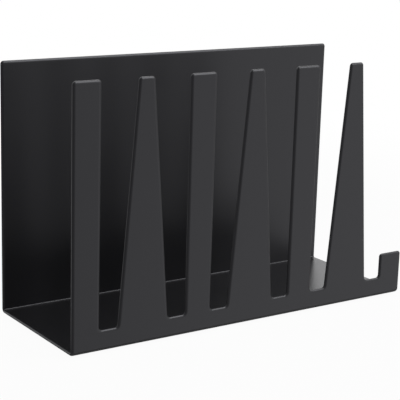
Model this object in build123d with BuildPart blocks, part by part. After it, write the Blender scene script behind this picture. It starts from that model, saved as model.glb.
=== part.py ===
from build123d import *
import os

# Mail organizer: one sheet of steel folded into a back wall, a floor and an open front wall, on four stick-on pads.
# Millimetres, +Z up, the front wall faces -Y, and the origin is on the table under the middle of the part.

# Folded sheet, measured outside, heights from the underside of its floor
sheet_width = 240.0
sheet_depth = 88.0
back_wall_height = 152.0
front_wall_height = 152.0
sheet_thickness = 2.0
bend_inner_radius = 0.8
corner_radius = 2.0
edge_break_share = 0.3

# Front wall: straight posts, with a tapered fin between each two, all standing on one band.
# The post at the right-hand end is cut low, so that envelopes can be drawn out there.
band_height = 12.4
post_count = 4
post_width = 17.4
low_post_height = 28.0
fin_foot_width = 33.0
fin_top_width = 10.0
gap_corner_radius = 2.0

# Pads under the floor, with their adhesive discs; insets run from the outside of the sheet to a pad's centre
pad_diameter = 12.0
pad_height = 1.8
pad_draft_angle = 8.0
pad_rim_break = 0.5
pad_end_inset = 18.0
pad_wall_inset = 14.0
adhesive_diameter = 11.4
adhesive_thickness = 0.2

# Each cut runs past the sheet by this much
cut_overrun = 1.0

# Heights above the table
adhesive_base = pad_height
underside = adhesive_base + adhesive_thickness
floor_top = underside + sheet_thickness
back_top = underside + back_wall_height
front_top = underside + front_wall_height
band_top = underside + band_height
low_post_top = underside + low_post_height

# Places across the part
half_width = sheet_width / 2
half_depth = sheet_depth / 2
inner_half_depth = half_depth - sheet_thickness
bend_outer_radius = bend_inner_radius + sheet_thickness
edge_break = edge_break_share * sheet_thickness

# The gap between a fin at zero and the post to its right: the fin's side leans in as it rises
fin_count = post_count - 1
post_pitch = (sheet_width - post_width) / fin_count
post_side = (post_pitch - post_width) / 2
fin_lean = (fin_foot_width - fin_top_width) / 2 / (front_top - band_top)
gap_top = front_top + cut_overrun
fin_side_at_foot = fin_foot_width / 2
fin_side_at_gap_top = fin_top_width / 2 - fin_lean * cut_overrun

os.makedirs("parts", exist_ok=True)


# Folded sheet: the fold's section is carried across the width, then the front is cut and every edge is broken
with BuildPart() as folded_sheet:
    with BuildSketch(Plane.YZ.offset(-half_width)):
        with BuildLine():
            outside = FilletPolyline(
                (-half_depth, front_top),
                (-half_depth, underside),
                (half_depth, underside),
                (half_depth, back_top),
                radius=bend_outer_radius,
            )
            inside = FilletPolyline(
                (-inner_half_depth, front_top),
                (-inner_half_depth, floor_top),
                (inner_half_depth, floor_top),
                (inner_half_depth, back_top),
                radius=bend_inner_radius,
            )
            Line(outside @ 0, inside @ 0)
            Line(outside @ 1, inside @ 1)
        make_face()
    extrude(amount=sheet_width)

    with BuildSketch(mode=Mode.PRIVATE) as gap_pair:
        with BuildLine():
            Polyline(
                (fin_side_at_foot, band_top),
                (post_side, band_top),
                (post_side, gap_top),
                (fin_side_at_gap_top, gap_top),
                close=True,
            )
        make_face()
        fillet(gap_pair.vertices().group_by(Axis.Y)[0], radius=gap_corner_radius)
        mirror(about=Plane.YZ)
    with BuildSketch(Plane.XZ.offset(half_depth + cut_overrun)):
        with GridLocations(post_pitch, 0, fin_count, 1):
            add(gap_pair.sketch)
        with Locations((half_width - post_width, low_post_top)):
            Rectangle(post_width + cut_overrun, gap_top - low_post_top, align=Align.MIN)
    extrude(amount=-(sheet_thickness + 2 * cut_overrun), mode=Mode.SUBTRACT)

    corners_across_sheet = folded_sheet.edges().filter_by(Axis.Y)
    front_corners = corners_across_sheet.filter_by_position(Axis.Y, -half_depth, -inner_half_depth)
    back_corners = corners_across_sheet.filter_by_position(Axis.Y, inner_half_depth, half_depth)
    fillet(
        front_corners.filter_by_position(Axis.Z, low_post_top, front_top) + back_corners.group_by(Axis.Z)[-1],
        radius=corner_radius,
    )

    # The sheet's two skins run from end to end; an edge that only one of their faces has is on the rim
    skins = folded_sheet.faces().filter_by(lambda face: face.bounding_box().size.X > sheet_width - corner_radius)
    skin_edges = skins.edges()
    rim = skin_edges.filter_by(lambda edge: skin_edges.count(edge) == 1)
    chamfer(rim, length=edge_break)

folded_sheet.part.label = "folded_sheet"
export_step(folded_sheet.part, "parts/folded_sheet.step")


# Pads and their adhesive discs, one of each near every corner of the floor
pad_x = half_width - pad_end_inset
pad_y = half_depth - pad_wall_inset
pad_places = {
    "front_left": (-pad_x, -pad_y),
    "front_right": (pad_x, -pad_y),
    "rear_left": (-pad_x, pad_y),
    "rear_right": (pad_x, pad_y),
}

for corner, (x, y) in pad_places.items():
    with BuildPart() as pad:
        with BuildSketch(Plane((x, y, pad_height))):
            Circle(pad_diameter / 2)
        extrude(amount=-pad_height, taper=pad_draft_angle)
        chamfer(pad.edges().group_by(Axis.Z)[0], length=pad_rim_break)

    pad.part.label = f"pad_{corner}"
    export_step(pad.part, f"parts/pad_{corner}.step")

    with BuildPart() as adhesive:
        with BuildSketch(Plane((x, y, adhesive_base))):
            Circle(adhesive_diameter / 2)
        extrude(amount=adhesive_thickness)

    adhesive.part.label = f"pad_adhesive_{corner}"
    export_step(adhesive.part, f"parts/pad_adhesive_{corner}.step")
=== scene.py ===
"""Looks of the mail organizer: a folded steel sheet on stick-on pads, in a plain white studio.

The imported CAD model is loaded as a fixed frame. Every new piece is a surface worked out with numpy, in
metres and in the frame of the CAD model: +Z up, the front wall towards -Y, and the origin on the table
under the middle.
"""

import logging
import math
from dataclasses import dataclass
from enum import Enum

import bpy
import numpy as np
from mathutils import Matrix, Vector
from numpy.typing import NDArray


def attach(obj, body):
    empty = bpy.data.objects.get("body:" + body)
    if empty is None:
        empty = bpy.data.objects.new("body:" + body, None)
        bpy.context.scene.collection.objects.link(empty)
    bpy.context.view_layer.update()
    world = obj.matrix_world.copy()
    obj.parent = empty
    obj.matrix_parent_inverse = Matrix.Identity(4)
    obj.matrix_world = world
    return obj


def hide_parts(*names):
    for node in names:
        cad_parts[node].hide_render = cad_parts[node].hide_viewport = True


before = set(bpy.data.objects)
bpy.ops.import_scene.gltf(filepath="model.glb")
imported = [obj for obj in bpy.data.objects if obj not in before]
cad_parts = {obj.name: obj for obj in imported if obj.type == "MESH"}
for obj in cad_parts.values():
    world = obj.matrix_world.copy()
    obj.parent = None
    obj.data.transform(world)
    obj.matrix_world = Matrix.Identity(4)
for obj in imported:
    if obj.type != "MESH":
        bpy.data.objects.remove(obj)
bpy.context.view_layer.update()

LOG = logging.getLogger("mail_organizer")
BODY = "root"
RIM_ATTRIBUTE = "rim"

Floats = NDArray[np.float64]
Indices = NDArray[np.int64]
Socket = bpy.types.NodeSocket
Point = tuple[float, float, float]
Colour = tuple[float, float, float]
Span = tuple[float, float]


class PadCorner(Enum):
    """The four corners of the floor that carry a pad, as signs along X and Y."""

    FRONT_LEFT = (-1, -1)
    FRONT_RIGHT = (1, -1)
    REAR_LEFT = (-1, 1)
    REAR_RIGHT = (1, 1)


class Skin(Enum):
    """The two faces of the sheet, as the sign of the way from its middle surface."""

    INNER = -1
    OUTER = 1


@dataclass(frozen=True)
class Rounded:
    """Corners of a polygon turned into arcs.

    Attributes:
        points: arcs by points by two coordinates.
        inward: unit vectors of the same shape that point into the polygon.
    """

    points: Floats
    inward: Floats


@dataclass(frozen=True)
class Shell:
    """A closed surface in arrays.

    Attributes:
        points: one row of x, y and z for each vertex, in metres.
        normals: one unit vector for each vertex, pointing out of the solid.
        faces: groups of faces, each an array with one row of vertex numbers for each face.
        rim: how far each vertex belongs to a rounded rim, from 0 to 1.
    """

    points: Floats
    normals: Floats
    faces: list[Indices]
    rim: Floats

    def to_object(self, name: str) -> bpy.types.Object:
        """Puts the arrays into a smooth mesh with its worked-out normals.

        Args:
            name: the name of the new piece.

        Returns:
            The object, at the origin and linked to the scene.
        """
        mesh = bpy.data.meshes.new(name)
        rows = [row for group in self.faces for row in group.tolist()]
        mesh.from_pydata(self.points.tolist(), [], rows)
        mesh.polygons.foreach_set("use_smooth", np.ones(len(mesh.polygons), dtype=bool))
        layer = mesh.attributes.new(RIM_ATTRIBUTE, "FLOAT", "POINT")
        layer.data.foreach_set("value", self.rim.astype(np.float32))
        mesh.normals_split_custom_set_from_vertices(self.normals.tolist())
        mesh.update()
        piece = bpy.data.objects.new(name, mesh)
        bpy.context.scene.collection.objects.link(piece)
        return piece


def unit(vectors: Floats) -> Floats:
    """Divides each vector, along the last axis, by its length."""
    return vectors / np.linalg.norm(vectors, axis=-1, keepdims=True)


def round_corners(corners: Floats, radii: Floats, steps: int) -> Rounded:
    """Rounds each corner of a closed polygon that runs clockwise.

    With u and v the unit vectors from a corner to its neighbours and h half the angle between them, the
    arc's centre lies radius / sin(h) from the corner along u + v, and its two ends lie radius / tan(h) from
    the corner along u and v. Its points are centre + radius * (cos, sin) of an angle that runs evenly from
    one end to the other.

    Args:
        corners: one row of two coordinates for each corner.
        radii: one radius for each corner.
        steps: how many steps each arc has.

    Returns:
        The arcs in the order of the corners, and their inward unit vectors.
    """
    before = unit(np.roll(corners, 1, axis=0) - corners)
    after = unit(np.roll(corners, -1, axis=0) - corners)
    turn = before[:, 0] * after[:, 1] - before[:, 1] * after[:, 0]
    half = np.arccos(np.clip(np.sum(before * after, axis=1), -1.0, 1.0)) / 2
    centre = corners + unit(before + after) * (radii / np.sin(half))[:, None]
    reach = (radii / np.tan(half))[:, None]
    first = corners + before * reach - centre
    last = corners + after * reach - centre
    start = np.arctan2(first[:, 1], first[:, 0])
    sweep = np.arctan2(last[:, 1], last[:, 0]) - start
    sweep = (sweep + np.pi) % (2 * np.pi) - np.pi
    angle = start[:, None] + sweep[:, None] * np.linspace(0.0, 1.0, steps + 1)
    away = np.stack([np.cos(angle), np.sin(angle)], axis=-1)
    points = centre[:, None] + radii[:, None, None] * away
    return Rounded(points, away * -np.sign(turn)[:, None, None])


def ladder(left: Indices, right: Indices) -> Indices:
    """Joins two equally long chains of vertices by quads, a row of four numbers for each."""
    return np.stack([left[:-1], right[:-1], right[1:], left[1:]], axis=-1)


def tube(rings: Indices) -> Indices:
    """Joins each ring of vertices to the next by quads, right round, a row of four numbers for each."""
    ahead = np.roll(rings, -1, axis=1)
    return np.stack([rings[:-1], rings[1:], ahead[1:], ahead[:-1]], axis=-1).reshape(-1, 4)


@dataclass(frozen=True)
class Clouds:
    """A cloudy pattern in space.

    Attributes:
        cell: the size of its features, in metres.
        detail: how many finer octaves it has.
        share: how strong each finer octave is.
    """

    cell: float
    detail: float
    share: float


@dataclass
class NodeDesk:
    """Adds nodes to one node tree and joins them.

    Attributes:
        tree: the node tree of a material or of the world.
    """

    tree: bpy.types.NodeTree

    def add(self, kind: str, inputs: dict[str, object] | None = None, **settings: object) -> bpy.types.Node:
        """Adds a node.

        Args:
            kind: the node's type name in Blender.
            inputs: values for its input sockets, by socket name.
            **settings: values for its own properties.

        Returns:
            The new node.
        """
        node = self.tree.nodes.new(kind)
        for name, value in settings.items():
            setattr(node, name, value)
        for name, value in (inputs or {}).items():
            node.inputs[name].default_value = value
        return node

    def join(self, source: Socket, target: Socket) -> None:
        """Links an output socket to an input socket."""
        self.tree.links.new(source, target)

    def math(self, operation: str, first: Socket, second: Socket | float, clamp: bool = False) -> Socket:
        """Works out one number from two.

        Args:
            operation: Blender's name of the operation.
            first: the first number's socket.
            second: the second number's socket, or the number.
            clamp: whether the result is held between 0 and 1.

        Returns:
            The socket of the result.
        """
        node = self.add("ShaderNodeMath", operation=operation, use_clamp=clamp)
        self.join(first, node.inputs[0])
        if isinstance(second, bpy.types.NodeSocket):
            self.join(second, node.inputs[1])
        else:
            node.inputs[1].default_value = second
        return node.outputs[0]

    def spread(self, value: Socket, result: Span, source: Span, smooth: bool = False) -> Socket:
        """Carries a number from one range over to another, and holds it at the ends.

        Args:
            value: the number's socket.
            result: the range it is carried to.
            source: the range it comes from.
            smooth: whether the change eases in and out.

        Returns:
            The socket of the result.
        """
        kind = "SMOOTHSTEP" if smooth else "LINEAR"
        names = ("From Min", "From Max", "To Min", "To Max")
        limits = dict(zip(names, (*source, *result)))
        node = self.add("ShaderNodeMapRange", limits, interpolation_type=kind)
        self.join(value, node.inputs["Value"])
        return node.outputs["Result"]

    def noise(self, where: Socket, clouds: Clouds) -> Socket:
        """A cloudy pattern.

        Args:
            where: the socket of the coordinates, in metres.
            clouds: the pattern.

        Returns:
            The socket of its value, about 0.5 on average.
        """
        values = {"Scale": 1.0 / clouds.cell, "Detail": clouds.detail, "Roughness": clouds.share}
        node = self.add("ShaderNodeTexNoise", values, noise_dimensions="3D")
        self.join(where, node.inputs["Vector"])
        return node.outputs["Fac"]

    def toward(self, value: Socket, end: float, share: Socket) -> Socket:
        """Blends a varying number towards a fixed one.

        Args:
            value: the varying number's socket.
            end: the fixed number.
            share: the socket of how far the blend goes, from 0 to 1.

        Returns:
            The socket of the result.
        """
        node = self.add("ShaderNodeMix", {"B": end}, data_type="FLOAT")
        self.join(share, node.inputs["Factor"])
        self.join(value, node.inputs["A"])
        return node.outputs["Result"]

    def grey(self, tone: Socket, blue: Socket) -> Socket:
        """Makes a grey, or a tone close to it.

        Args:
            tone: the socket of its red and green.
            blue: the socket of its blue.

        Returns:
            The socket of the colour.
        """
        node = self.add("ShaderNodeCombineColor")
        for channel, value in (("Red", tone), ("Green", tone), ("Blue", blue)):
            self.join(value, node.inputs[channel])
        return node.outputs["Color"]

    def bump(self, height: Socket, depth: float, under: Socket | None = None) -> Socket:
        """Turns a height pattern into a tilt of the surface.

        Args:
            height: the socket of the pattern, from 0 to 1.
            depth: the height of a full step, in metres.
            under: the normal of a coarser bump that this one lies on.

        Returns:
            The socket of the new normal.
        """
        node = self.add("ShaderNodeBump", {"Strength": 1.0, "Distance": depth})
        self.join(height, node.inputs["Height"])
        if under is not None:
            self.join(under, node.inputs["Normal"])
        return node.outputs["Normal"]

    def seen(self) -> Socket:
        """Tells rays from the camera, a gloss or glass from all others.

        Returns:
            The socket of a number that is 1 for those rays and 0 for the others.
        """
        path = self.add("ShaderNodeLightPath")
        both = self.math("ADD", path.outputs["Is Camera Ray"], path.outputs["Is Glossy Ray"])
        return self.math("ADD", both, path.outputs["Is Transmission Ray"], clamp=True)

    def surface(self, shader: Socket) -> None:
        """Links a shader to a new material output."""
        self.join(shader, self.add("ShaderNodeOutputMaterial").inputs["Surface"])


def new_material(name: str) -> tuple[bpy.types.Material, NodeDesk]:
    """Makes a material with an empty node tree.

    Args:
        name: the material's name.

    Returns:
        The material, and the desk for its nodes.
    """
    material = bpy.data.materials.new(name)
    material.use_nodes = True
    material.node_tree.nodes.clear()
    return material, NodeDesk(material.node_tree)


@dataclass(frozen=True)
class PowderCoat:
    """Satin black powder coat: fine orange peel with a grain on it, smoother on the rims.

    Attributes:
        name: the material's name.
        black: the darkest and the lightest tone of the coat on the flat.
        cool: how much stronger blue is than red and green in the coat's own tone.
        sheen_tint: the colour of its reflections.
        rim_thin_coat_painted_highlight: the tone on the rounded rims: partly the thin coat there, partly a
            painted highlight.
        roughness: the lowest and the highest roughness on the flat.
        rim_roughness: the roughness on the rims.
        index: the index of refraction of the resin.
        peel: the waves of the orange peel.
        peel_depth: their height, in metres.
        grain: the grain on the waves.
        grain_depth: its height, in metres.
        cloud: the slow changes of tone and gloss.
        tone_span: the values of the cloud between which the tone changes.
        gloss_span: the sums of cloud and grain between which the roughness changes.
    """

    name: str = "black_powder_coat"
    black: Span = (0.0102, 0.0120)
    cool: float = 1.12
    sheen_tint: Colour = (0.94, 0.94, 1.0)
    rim_thin_coat_painted_highlight: float = 0.0118
    roughness: Span = (0.28, 0.33)
    rim_roughness: float = 0.28
    index: float = 1.54
    peel: Clouds = Clouds(0.0016, 1.5, 0.4)
    peel_depth: float = 0.000006
    grain: Clouds = Clouds(0.00022, 1.0, 0.5)
    grain_depth: float = 0.0000012
    cloud: Clouds = Clouds(0.035, 3.0, 0.5)
    tone_span: Span = (0.3, 0.7)
    gloss_span: Span = (0.7, 1.3)

    def material(self) -> bpy.types.Material:
        """Builds the node tree.

        Returns:
            The material, with its pattern on Object coordinates.
        """
        material, desk = new_material(self.name)
        where = desk.add("ShaderNodeTexCoord").outputs["Object"]
        rim = desk.add("ShaderNodeAttribute", attribute_name=RIM_ATTRIBUTE).outputs["Fac"]
        cloud = desk.noise(where, self.cloud)
        grain = desk.noise(where, self.grain)
        # The rims are drawn a little lighter: partly the thin coat there, partly a painted highlight.
        tone = desk.toward(desk.spread(cloud, self.black, self.tone_span), self.rim_thin_coat_painted_highlight, rim)
        flat_gloss = desk.spread(desk.math("ADD", cloud, grain), self.roughness, self.gloss_span)
        gloss = desk.toward(flat_gloss, self.rim_roughness, rim)
        waves = desk.bump(desk.noise(where, self.peel), self.peel_depth)

        values = {"IOR": self.index, "Specular Tint": (*self.sheen_tint, 1.0)}
        coat = desk.add("ShaderNodeBsdfPrincipled", values)
        blue = desk.math("MULTIPLY", tone, self.cool)
        desk.join(desk.grey(tone, blue), coat.inputs["Base Color"])
        desk.join(gloss, coat.inputs["Roughness"])
        desk.join(desk.bump(grain, self.grain_depth, waves), coat.inputs["Normal"])
        desk.surface(coat.outputs["BSDF"])
        return material


@dataclass(frozen=True)
class PadRubber:
    """Black moulded rubber with a dusty bloom and a fine mould grain.

    Attributes:
        name: the material's name.
        black: the tone of clean rubber and of rubber with bloom on it.
        roughness: the roughness of the two.
        index: the index of refraction of the rubber.
        grain: the mould grain.
        grain_depth: its height, in metres.
        bloom: the patches of bloom.
        bloom_span: the values of the patches between which the bloom sets in.
    """

    name: str = "pad_rubber"
    black: Span = (0.014, 0.026)
    roughness: Span = (0.62, 0.82)
    index: float = 1.52
    grain: Clouds = Clouds(0.00018, 1.0, 0.5)
    grain_depth: float = 0.000012
    bloom: Clouds = Clouds(0.0025, 4.0, 0.6)
    bloom_span: Span = (0.35, 0.7)

    def material(self) -> bpy.types.Material:
        """Builds the node tree.

        Returns:
            The material, with its pattern on Object coordinates.
        """
        material, desk = new_material(self.name)
        where = desk.add("ShaderNodeTexCoord").outputs["Object"]
        bloom = desk.noise(where, self.bloom)
        grain = desk.noise(where, self.grain)
        rubber = desk.add("ShaderNodeBsdfPrincipled", {"IOR": self.index})
        tone = desk.spread(bloom, self.black, self.bloom_span)
        desk.join(desk.grey(tone, tone), rubber.inputs["Base Color"])
        desk.join(desk.spread(bloom, self.roughness, self.bloom_span), rubber.inputs["Roughness"])
        desk.join(desk.bump(grain, self.grain_depth), rubber.inputs["Normal"])
        desk.surface(rubber.outputs["BSDF"])
        return material


@dataclass(frozen=True)
class AdhesiveFilm:
    """Pale foam film with glue on both sides, slightly yellow and mottled.

    Attributes:
        name: the material's name.
        pale: the colour of clean film.
        aged: the colour where the glue has yellowed.
        roughness: the roughness of the film.
        mottle: the mottling.
        mottle_depth: its height, in metres.
    """

    name: str = "pad_adhesive"
    pale: Colour = (0.66, 0.64, 0.56)
    aged: Colour = (0.54, 0.50, 0.39)
    roughness: float = 0.5
    mottle: Clouds = Clouds(0.0006, 3.0, 0.6)
    mottle_depth: float = 0.00001

    def material(self) -> bpy.types.Material:
        """Builds the node tree.

        Returns:
            The material, with its pattern on Object coordinates.
        """
        material, desk = new_material(self.name)
        where = desk.add("ShaderNodeTexCoord").outputs["Object"]
        mottle = desk.noise(where, self.mottle)
        blend = desk.add("ShaderNodeMix", data_type="RGBA")
        blend.inputs["A"].default_value = (*self.pale, 1.0)
        blend.inputs["B"].default_value = (*self.aged, 1.0)
        film = desk.add("ShaderNodeBsdfPrincipled", {"Roughness": self.roughness})
        desk.join(mottle, blend.inputs["Factor"])
        desk.join(blend.outputs["Result"], film.inputs["Base Color"])
        desk.join(desk.bump(mottle, self.mottle_depth), film.inputs["Normal"])
        desk.surface(film.outputs["BSDF"])
        return material


@dataclass(frozen=True)
class StudioFloor:
    """White table top that fades into the white background, and keeps the shadow close to the part.

    Attributes:
        name: the material's name.
        pale: the colour of the table top.
        lift: how much of its own white shows at the middle; the rest shows light and shadow.
        fade: the distances from the middle between which the lift grows to 1, in metres.
    """

    name: str = "studio_floor"
    pale: Colour = (0.86, 0.86, 0.86)
    lift: float = 0.96
    fade: Span = (0.25, 0.75)

    def material(self) -> bpy.types.Material:
        """Builds the node tree.

        Returns:
            The material, with its fade on Object coordinates.
        """
        material, desk = new_material(self.name)
        where = desk.add("ShaderNodeTexCoord").outputs["Object"]
        length = desk.add("ShaderNodeVectorMath", operation="LENGTH")
        desk.join(where, length.inputs[0])
        path = desk.add("ShaderNodeLightPath")
        lift = desk.spread(length.outputs["Value"], (self.lift, 1.0), self.fade, smooth=True)
        top = desk.add("ShaderNodeBsdfDiffuse", {"Color": (*self.pale, 1.0)})
        white = desk.add("ShaderNodeEmission", {"Strength": 1.0})
        blend = desk.add("ShaderNodeMixShader")
        desk.join(desk.math("MULTIPLY", lift, path.outputs["Is Camera Ray"]), blend.inputs[0])
        desk.join(top.outputs["BSDF"], blend.inputs[1])
        desk.join(white.outputs["Emission"], blend.inputs[2])
        desk.surface(blend.outputs["Shader"])
        return material


@dataclass(frozen=True)
class StudioSide:
    """A side of the studio that is darker or brighter than white in reflections.

    Attributes:
        way: the direction of the side.
        level: how bright it is at its middle, where 1 is white.
        edges: the cosines of the angles from that direction at which white ends and the level begins.
    """

    way: Point
    level: float
    edges: Span

    def shade(self, desk: NodeDesk, looked: Socket) -> Socket:
        """Adds the nodes for the side's brightness.

        It goes evenly from 1 to the level between the two edges, by the cosine that is the dot product of
        the direction looked along and the way.

        Args:
            desk: the desk of the world's node tree.
            looked: the socket of the direction looked along.

        Returns:
            The socket of the brightness.
        """
        cosine = desk.add("ShaderNodeVectorMath", operation="DOT_PRODUCT")
        cosine.inputs[1].default_value = self.way
        desk.join(looked, cosine.inputs[0])
        return desk.spread(cosine.outputs["Value"], (1.0, self.level), self.edges)


@dataclass(frozen=True)
class Surroundings:
    """The studio round the table: white to the eye, and in reflections dim on two sides and bright on one.

    Attributes:
        name: the world's name.
        ambient: how strong the surroundings are as light on matt surfaces.
        camera_side: the dim side to the left of the camera.
        wall: the dim side to the right of the table.
        panel: the bright side high up behind the table.
    """

    name: str = "studio_white"
    ambient: float = 0.22
    camera_side: StudioSide = StudioSide((-0.643, -0.766, 0.0), 0.30, (0.14, 0.72))
    wall: StudioSide = StudioSide((0.95, 0.10, -0.30), 0.45, (0.70, 0.90))
    panel: StudioSide = StudioSide((0.40, 0.70, 0.59), 3.50, (0.95, 0.985))

    def build(self) -> None:
        """Makes the world: to the camera it is 1 all round, and in reflections the three sides' product."""
        world = bpy.data.worlds.new(self.name)
        world.use_nodes = True
        world.node_tree.nodes.clear()
        desk = NodeDesk(world.node_tree)
        white = (1.0, 1.0, 1.0, 1.0)
        looked = desk.add("ShaderNodeTexCoord").outputs["Generated"]
        dim = desk.math("MULTIPLY", self.camera_side.shade(desk, looked), self.wall.shade(desk, looked))
        level = desk.math("MULTIPLY", dim, self.panel.shade(desk, looked))
        path = desk.add("ShaderNodeLightPath")
        shown = desk.add("ShaderNodeBackground", {"Color": white})
        desk.join(desk.toward(level, 1.0, path.outputs["Is Camera Ray"]), shown.inputs["Strength"])
        light = desk.add("ShaderNodeBackground", {"Color": white, "Strength": self.ambient})
        blend = desk.add("ShaderNodeMixShader")
        end = desk.add("ShaderNodeOutputWorld")
        desk.join(desk.seen(), blend.inputs[0])
        desk.join(light.outputs["Background"], blend.inputs[1])
        desk.join(shown.outputs["Background"], blend.inputs[2])
        desk.join(blend.outputs["Shader"], end.inputs["Surface"])
        bpy.context.scene.world = world


@dataclass
class FoldedSheet:
    """One sheet of steel bent up twice into a back wall, a floor and an open front wall.

    The sheet is drawn flat, as x across and s along it: s runs from the top of the back wall down, through
    the two bends and the floor, and up the front wall. The flat drawing is then folded. Heights count from
    the underside.

    Attributes:
        name: the name of the piece.
        node: the CAD node that it stands for.
        slot: the record's material slot; not used.
        width: the size along X.
        depth: the size along Y, outside.
        underside: the height of the floor's underside above the table.
        wall_height: the height of both walls.
        thickness: the thickness of the sheet.
        bend_inner_radius: the radius inside the two bends.
        corner_radius: the radius of the outline's outer corners.
        gap_corner_radius: the radius at the foot of the gaps.
        rim_reach: how far the rounding of the cut edge reaches on to each face.
        rim_hold: how far the flat of a face is held beside the rounding.
        band_height: the height of the band under the gaps.
        upright_count: how many posts and fins there are, in turn, with a post at each end.
        post_width: the width of a post.
        low_post_height: the height of the post at the right-hand end.
        fin_foot_width: the width of a fin at the band.
        fin_top_width: the width of a fin at its top.
        arc_steps: steps in each corner's arc.
        bend_steps: steps in each bend.
        rim_steps: steps in each quarter of the rim's rounding.
    """

    name: str = "folded_sheet_coated"
    node: str = "folded_sheet"
    slot: str = "black_powder_coat"
    width: float = 0.240
    depth: float = 0.088
    underside: float = 0.002
    wall_height: float = 0.152
    thickness: float = 0.002
    bend_inner_radius: float = 0.0008
    corner_radius: float = 0.002
    gap_corner_radius: float = 0.002
    rim_reach: float = 0.0018
    rim_hold: float = 0.00015
    band_height: float = 0.0124
    upright_count: int = 7
    post_width: float = 0.0174
    low_post_height: float = 0.028
    fin_foot_width: float = 0.033
    fin_top_width: float = 0.010
    arc_steps: int = 12
    bend_steps: int = 14
    rim_steps: int = 8

    @property
    def bend_radius(self) -> float:
        """The radius of the bends at the middle of the sheet's thickness."""
        return self.bend_inner_radius + self.thickness / 2

    @property
    def run_lengths(self) -> tuple[float, float, float]:
        """Lengths on the flat sheet: a wall without its bend, a bend, and the floor between the bends."""
        inset = self.thickness / 2 + self.bend_radius
        return self.wall_height - inset, self.bend_radius * math.pi / 2, self.depth - 2 * inset

    def along_front(self, height: Floats) -> Floats:
        """Turns heights on the front wall, above the underside, into lengths along the flat sheet."""
        wall, bend, floor = self.run_lengths
        return wall + 2 * bend + floor + height - self.thickness / 2 - self.bend_radius

    def front_corners(self) -> Floats:
        """Sharp corners of the posts and fins, before they are rounded.

        Each upright is its middle x with half its width at the foot and at the top to either side.

        Returns:
            Uprights from left to right, by corners (left foot, left top, right top, right foot), by x
            and s.
        """
        count = np.arange(self.upright_count)
        reach = (self.width - self.post_width) / 2
        middle = np.linspace(-reach, reach, self.upright_count)
        is_post = count % 2 == 0
        foot = np.where(is_post, self.post_width, self.fin_foot_width) / 2
        head = np.where(is_post, self.post_width, self.fin_top_width) / 2
        height = np.where(count < self.upright_count - 1, self.wall_height, self.low_post_height)
        top = self.along_front(height)
        band = np.full_like(top, self.along_front(np.array(self.band_height)))
        x = middle[:, None] + np.stack([-foot, -head, head, foot], axis=1)
        return np.stack([x, np.stack([band, top, top, band], axis=1)], axis=-1)

    def bend_rows(self) -> Floats:
        """Shares out the rows in the two bends evenly, with one more on the flat beside each end of a bend.

        Returns:
            The rows' lengths along the flat sheet, from the back wall to the front wall.
        """
        wall, bend, floor = self.run_lengths
        row = np.linspace(0.0, bend, self.bend_steps + 1)
        row = np.concatenate([[-self.rim_hold], row, [bend + self.rim_hold]])
        return np.concatenate([wall + row, wall + bend + floor + row])

    def outline(self) -> tuple[Floats, Floats]:
        """The sheet's outline on the flat, clockwise from the left end of the back wall's top.

        Corners are arcs. The straight ends have points at the rows of the bends and beside the feet of the
        end posts, so that every point on the left has its fellow on the right.

        Returns:
            The points as x and s, and their unit vectors into the sheet.
        """
        half = self.width / 2
        front = self.front_corners().reshape(-1, 2)[1:-1]
        corners = np.concatenate([[[-half, 0.0]], front, [[half, 0.0]]])
        radii = np.full(len(corners), self.corner_radius)
        at_band = np.isclose(corners[:, 1], self.along_front(np.array(self.band_height)))
        radii[at_band] = self.gap_corner_radius
        arcs = round_corners(corners, radii, self.arc_steps)

        # The arcs at the inner feet of the first and the last post
        first_foot, last_foot = arcs.points[3], arcs.points[-4]
        left = np.concatenate([self.bend_rows(), first_foot[::-1, 1]])
        right = np.concatenate([self.bend_rows(), last_foot[:, 1]])[::-1]
        left_run = np.stack([np.full_like(left, -half), left], axis=1)
        right_run = np.stack([np.full_like(right, half), right], axis=1)
        left_in = np.tile([1.0, 0.0], (len(left), 1))
        right_in = np.tile([-1.0, 0.0], (len(right), 1))
        points = [arcs.points[0], left_run, arcs.points[1:-1].reshape(-1, 2), right_run, arcs.points[-1]]
        inward = [arcs.inward[0], left_in, arcs.inward[1:-1].reshape(-1, 2), right_in, arcs.inward[-1]]
        return np.concatenate(points), np.concatenate(inward)

    def rim_profile(self) -> tuple[Floats, Floats, Floats]:
        """The section of the cut edge, from the inner face round to the outer face.

        The section is half an ellipse with half-axes a along the faces and b of half the thickness. Where
        its normal is tilted by an angle w, tan(u) = b / a * tan(w), and the point lies a * (1 - cos(u)) in
        from the outline and b * sin(u) from the middle surface. One more point lies on each face beside the
        ellipse.

        Returns:
            How far each point lies in from the outline, how far across from the middle surface, and the
            tilt of its normal, from -90 degrees on the inner face to 90 degrees on the outer face.
        """
        half = self.thickness / 2
        square = math.pi / 2
        tilt = np.linspace(-square, square, 2 * self.rim_steps + 1)
        u = np.arctan2(half * np.sin(tilt), self.rim_reach * np.cos(tilt))
        held = self.rim_reach + self.rim_hold
        inset = np.concatenate([[held], self.rim_reach * (1 - np.cos(u)), [held]])
        across = np.concatenate([[-half], half * np.sin(u), [half]])
        return inset, across, np.concatenate([[-square], tilt, [square]])

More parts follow.
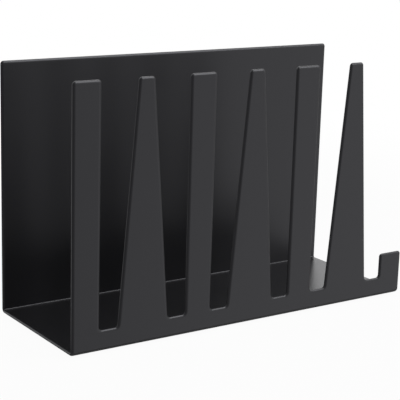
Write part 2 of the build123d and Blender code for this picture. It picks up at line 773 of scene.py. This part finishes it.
    def fold(self, s: Floats, across: Floats) -> tuple[Floats, Floats, Floats]:
        """Folds places on the flat sheet.

        The length s is shared out in order over wall a, bend b, floor c, bend e and wall f. With R the
        bend's middle radius and t = b / R + e / R the angle turned so far, the middle surface is at
        y = back - R * (1 - cos(b / R)) - c - R * sin(e / R) and
        z = top - a - R * sin(b / R) + R * (1 - cos(e / R)) + f.
        The way along the sheet is (-sin t, -cos t), the way out of it (cos t, -sin t), and the point lies
        across times the way out from the middle surface.

        Args:
            s: lengths along the flat sheet.
            across: distances from the middle surface, positive outside.

        Returns:
            Points, the ways along the sheet, and the ways out of it, each by y and z.
        """
        wall, bend, floor = self.run_lengths
        radius = self.bend_radius
        a = np.minimum(s, wall)
        b = np.clip(s - wall, 0.0, bend)
        c = np.clip(s - wall - bend, 0.0, floor)
        e = np.clip(s - wall - bend - floor, 0.0, bend)
        f = np.maximum(s - wall - 2 * bend - floor, 0.0)
        back = self.depth / 2 - self.thickness / 2
        top = self.underside + self.wall_height
        y = back - radius * (1 - np.cos(b / radius)) - c - radius * np.sin(e / radius)
        z = top - a - radius * np.sin(b / radius) + radius * (1 - np.cos(e / radius)) + f
        angle = (b + e) / radius
        along = np.stack([-np.sin(angle), -np.cos(angle)], axis=-1)
        out = np.stack([np.cos(angle), -np.sin(angle)], axis=-1)
        return np.stack([y, z], axis=-1) + across[..., None] * out, along, out

    def skin_faces(self, ring: Indices, skin: Skin) -> list[Indices]:
        """Faces of one side of the sheet, between the vertices of the ring beside its rim.

        Args:
            ring: the vertex numbers of that ring, in the outline's order.
            skin: which side of the sheet it is.

        Returns:
            Ladders of quads over the walls, bends and floor, the band as one polygon, and ladders up the
            uprights.
        """
        arc = self.arc_steps + 1
        rows = arc + len(self.bend_rows())
        main_left, main_right = ring[:rows], ring[::-1][:rows]
        uprights = ring[rows:-rows].reshape(self.upright_count, 2, 2 * arc)
        left = uprights[:, 0].T
        right = uprights[:, 1, ::-1].T
        feet = np.stack([left[0], right[0]], axis=1).ravel()
        band = np.concatenate([[main_left[-1], main_right[-1]], feet[::-1]])[None]
        faces = [ladder(main_left, main_right), band, ladder(left, right).reshape(-1, 4)]
        return faces if skin is Skin.OUTER else [group[:, ::-1] for group in faces]

    def shell(self) -> Shell:
        """Carries the rim's section round the outline, closes both sides, and folds the sheet.

        Each point of the flat drawing is outline + inset * inward, and its normal is
        cos(tilt) * (-inward) + sin(tilt) * out, with the flat s turned into the way along the folded sheet.

        Returns:
            The closed surface of the sheet.
        """
        outline, inward = self.outline()
        inset, across, tilt = self.rim_profile()
        flat = outline[None] + inset[:, None, None] * inward[None]
        folded, along, out = self.fold(flat[..., 1], np.broadcast_to(across[:, None], flat.shape[:2]))
        points = np.concatenate([flat[..., :1], folded], axis=-1)
        ways = np.broadcast_to(-inward[None], flat.shape)
        cut = np.concatenate([ways[..., :1], ways[..., 1:] * along], axis=-1)
        face = np.concatenate([np.zeros_like(flat[..., :1]), out], axis=-1)
        normals = np.cos(tilt)[:, None, None] * cut + np.sin(tilt)[:, None, None] * face

        rings = np.arange(points.shape[0] * points.shape[1]).reshape(points.shape[:2])
        inner = self.skin_faces(rings[0], Skin.INNER)
        outer = self.skin_faces(rings[-1], Skin.OUTER)
        faces = [tube(rings), *inner, *outer]
        rim = np.repeat(np.cos(tilt), points.shape[1])
        return Shell(points.reshape(-1, 3), unit(normals.reshape(-1, 3)), faces, rim)

    def build(self, coat: bpy.types.Material) -> bpy.types.Object:
        """Makes the sheet and dresses it.

        Args:
            coat: the powder coat.

        Returns:
            The piece, riding on the frame in place of its CAD node.
        """
        piece = self.shell().to_object(self.name)
        piece.data.materials.append(coat)
        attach(piece, BODY)
        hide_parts(self.node)
        return piece


@dataclass
class StickOnPad:
    """A moulded rubber pad under one corner of the floor, with the adhesive disc that holds it.

    Attributes:
        corner: the corner of the floor.
        slot: the record's material slot of the rubber; not used.
        film_slot: the record's material slot of the adhesive; not used.
        reach_x: the distance of the pad's centre from the middle along X.
        reach_y: the same along Y.
        radius: the radius at the top.
        height: the height of the pad.
        draft: how much the foot is smaller in radius than the top.
        foot_radius: the rounding at the foot.
        top_radius: the rounding at the top.
        groove_radius: the radius of the middle of the grip groove in the underside.
        groove_width: the width of the groove.
        groove_depth: the depth of the groove.
        groove_slant: how far each side of the groove leans in.
        groove_edge_radius: the rounding of the groove's edges.
        edge_steps: steps in each rounding.
        turn_steps: steps round the pad.
    """

    corner: PadCorner
    slot: str = "pad_rubber"
    film_slot: str = "pad_adhesive"
    reach_x: float = 0.102
    reach_y: float = 0.030
    radius: float = 0.006
    height: float = 0.0018
    draft: float = 0.00025
    foot_radius: float = 0.0005
    top_radius: float = 0.00012
    groove_radius: float = 0.0034
    groove_width: float = 0.0009
    groove_depth: float = 0.0002
    groove_slant: float = 0.000225
    groove_edge_radius: float = 0.00005
    edge_steps: int = 6
    turn_steps: int = 72

    @property
    def place(self) -> str:
        """The corner's name as it stands in the names of the CAD nodes."""
        return self.corner.name.lower()

    def section(self) -> Rounded:
        """Half the pad's section, from the axis out along the top, down the side and in underneath.

        Returns:
            Rounded corners as radius and height, without the two on the axis.
        """
        inner = self.groove_radius - self.groove_width / 2
        outer = self.groove_radius + self.groove_width / 2
        corners = np.array([
            [0.0, self.height],
            [self.radius, self.height],
            [self.radius - self.draft, 0.0],
            [outer, 0.0],
            [outer - self.groove_slant, self.groove_depth],
            [inner + self.groove_slant, self.groove_depth],
            [inner, 0.0],
            [0.0, 0.0],
        ])
        radii = np.full(len(corners), self.groove_edge_radius)
        radii[1:3] = self.top_radius, self.foot_radius
        arcs = round_corners(corners, radii, self.edge_steps)
        return Rounded(arcs.points[1:-1], arcs.inward[1:-1])

    def shell(self) -> Shell:
        """Turns the section about the pad's axis, with a point at each pole.

        A point of the section at radius r and height h goes to x = r * cos(turn), y = r * sin(turn) and
        z = h, counted from the pad's centre on the table.

        Returns:
            The closed surface of the pad.
        """
        section = self.section()
        profile = section.points.reshape(-1, 2)
        ways = -section.inward.reshape(-1, 2)
        turn = np.linspace(0.0, 2 * math.pi, self.turn_steps, endpoint=False)
        circle = np.stack([np.cos(turn), np.sin(turn)], axis=-1)
        sign_x, sign_y = self.corner.value
        centre = np.array([sign_x * self.reach_x, sign_y * self.reach_y])
        flat = profile[:, None, :1] * circle + centre
        level = np.broadcast_to(profile[:, None, 1:], (*flat.shape[:2], 1))
        points = np.concatenate([flat, level], axis=-1).reshape(-1, 3)
        tilt = np.broadcast_to(ways[:, None, 1:], (*flat.shape[:2], 1))
        normals = np.concatenate([ways[:, None, :1] * circle, tilt], axis=-1).reshape(-1, 3)

        rings = np.arange(len(points)).reshape(flat.shape[:2])
        ahead = np.roll(rings, -1, axis=1)
        top = np.full(self.turn_steps, len(points))
        top_fan = np.stack([top, rings[0], ahead[0]], axis=-1)
        foot_fan = np.stack([top + 1, ahead[-1], rings[-1]], axis=-1)
        poles = np.array([[*centre, self.height], [*centre, 0.0]])
        points = np.concatenate([points, poles])
        normals = np.concatenate([normals, [[0.0, 0.0, 1.0], [0.0, 0.0, -1.0]]])
        return Shell(points, unit(normals), [tube(rings), top_fan, foot_fan], np.zeros(len(points)))

    def build(self, rubber: bpy.types.Material, film: bpy.types.Material) -> bpy.types.Object:
        """Makes the pad, dresses it, and dresses the CAD node of its adhesive disc.

        Args:
            rubber: the rubber.
            film: the adhesive film.

        Returns:
            The pad, riding on the frame in place of its CAD node.
        """
        piece = self.shell().to_object(f"pad_{self.place}_rubber")
        piece.data.materials.append(rubber)
        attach(piece, BODY)
        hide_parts(f"pad_{self.place}")
        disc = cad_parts[f"pad_adhesive_{self.place}"]
        disc.data.materials.clear()
        disc.data.materials.append(film)
        return piece


@dataclass(frozen=True)
class Softbox:
    """A large soft lamp.

    Attributes:
        name: the lamp's name.
        centre: where it stands, in metres.
        aim: the point it faces.
        size: its two sides, in metres.
        radiance: how bright its face is, where 1 is the white of the background.
    """

    name: str = "softbox_right"
    centre: Point = (0.60, -0.80, 1.05)
    aim: Point = (0.0, 0.0, 0.08)
    size: Span = (0.8, 1.05)
    radiance: float = 3.2

    def build(self) -> None:
        """Makes the lamp; its power is pi times its area times its radiance."""
        lamp = bpy.data.lights.new(self.name, "AREA")
        lamp.shape = "RECTANGLE"
        lamp.size, lamp.size_y = self.size
        lamp.energy = math.pi * self.size[0] * self.size[1] * self.radiance
        stand = bpy.data.objects.new(self.name, lamp)
        stand.location = self.centre
        way = Vector(self.aim) - Vector(self.centre)
        stand.rotation_euler = way.to_track_quat("-Z", "Y").to_euler()
        bpy.context.scene.collection.objects.link(stand)


@dataclass
class Studio:
    """White table and background, a soft lamp, and the camera.

    Attributes:
        floor_reach: half the side of the table top, in metres.
        patch: half the sides of the patch under the part, along X and Y, in metres.
        eye: where the camera stands, in metres.
        heading: the camera's turn to the right from +Y, in degrees.
        dip: how far it looks down, in degrees.
        roll: how far its right-hand side is tilted up, in degrees.
        sensor: the width of its sensor, in millimetres.
        lens: its focal length, in millimetres.
    """

    floor_reach: float = 9.0
    patch: Span = (0.135, 0.048)
    eye: Point = (-0.4330, -0.6202, 0.2520)
    heading: float = 34.428
    dip: float = 13.710
    roll: float = 1.685
    sensor: float = 36.0
    lens: float = 114.118

    def build_floor(self) -> None:
        """Makes the table top: a flat sheet with a patch of its own under the part.

        The patch has the corners (-a, -b) to (a, b). The sheet is a ring of four quads from those corners
        out to the corners of a square of side 2 * reach. Reflections show the patch, with its shade, and
        beyond it the surroundings.
        """
        signs = np.array([[-1.0, -1.0], [1.0, -1.0], [1.0, 1.0], [-1.0, 1.0]])
        level = np.zeros((len(signs), 1))
        inner = np.concatenate([signs * self.patch, level], axis=1)
        outer = np.concatenate([signs * self.floor_reach, level], axis=1)
        corner = np.arange(len(signs))
        after = np.roll(corner, -1)
        ring = np.stack([corner + len(signs), after + len(signs), after, corner], axis=-1)
        white = StudioFloor().material()
        sheet = self.lay_floor("studio_floor", np.concatenate([inner, outer]), ring, white)
        sheet.visible_glossy = False
        self.lay_floor("studio_floor_patch", inner, corner[None], white)

    def lay_floor(self, name: str, points: Floats, faces: Indices,
                  white: bpy.types.Material) -> bpy.types.Object:
        """Makes one piece of the table top.

        Args:
            name: its name.
            points: its corners.
            faces: one row of corner numbers for each face.
            white: its material.

        Returns:
            The piece.
        """
        mesh = bpy.data.meshes.new(name)
        mesh.from_pydata(points.tolist(), [], faces.tolist())
        mesh.materials.append(white)
        floor = bpy.data.objects.new(name, mesh)
        bpy.context.scene.collection.objects.link(floor)
        return floor

    def build_camera(self) -> None:
        """Makes the camera from its heading, dip and roll, and sets it on the scene.

        Ahead is (sin h * cos d, cos h * cos d, -sin d), the level right is (cos h, -sin h, 0), and up is
        square to both; the roll turns right and up about ahead.
        """
        h, d, roll = np.radians([self.heading, self.dip, self.roll])
        ahead = np.array([math.sin(h) * math.cos(d), math.cos(h) * math.cos(d), -math.sin(d)])
        level = np.array([math.cos(h), -math.sin(h), 0.0])
        right = math.cos(roll) * level + math.sin(roll) * np.cross(level, ahead)
        up = np.cross(right, ahead)
        lens = bpy.data.cameras.new("photo_camera")
        lens.sensor_width = self.sensor
        lens.lens = self.lens
        camera = bpy.data.objects.new("photo_camera", lens)
        turn = Matrix(np.stack([right, up, -ahead], axis=1).tolist()).to_4x4()
        camera.matrix_world = Matrix.Translation(self.eye) @ turn
        bpy.context.scene.collection.objects.link(camera)
        bpy.context.scene.camera = camera

    def build(self) -> None:
        """Makes the floor, the surroundings, the lamp and the camera."""
        self.build_floor()
        Surroundings().build()
        Softbox().build()
        self.build_camera()
        bpy.context.scene.view_settings.view_transform = "Standard"


def report(piece: bpy.types.Object) -> None:
    """Logs a finished piece with its counts of vertices and faces."""
    mesh = piece.data
    LOG.info("%s: %d vertices, %d faces", piece.name, len(mesh.vertices), len(mesh.polygons))


def main() -> None:
    """Builds the pieces in order, then the studio."""
    logging.basicConfig(level=logging.INFO, format="%(name)s: %(message)s")
    report(FoldedSheet().build(PowderCoat().material()))
    rubber = PadRubber().material()
    film = AdhesiveFilm().material()
    for corner in PadCorner:
        report(StickOnPad(corner).build(rubber, film))
    Studio().build()


if __name__ == "__main__":
    main()
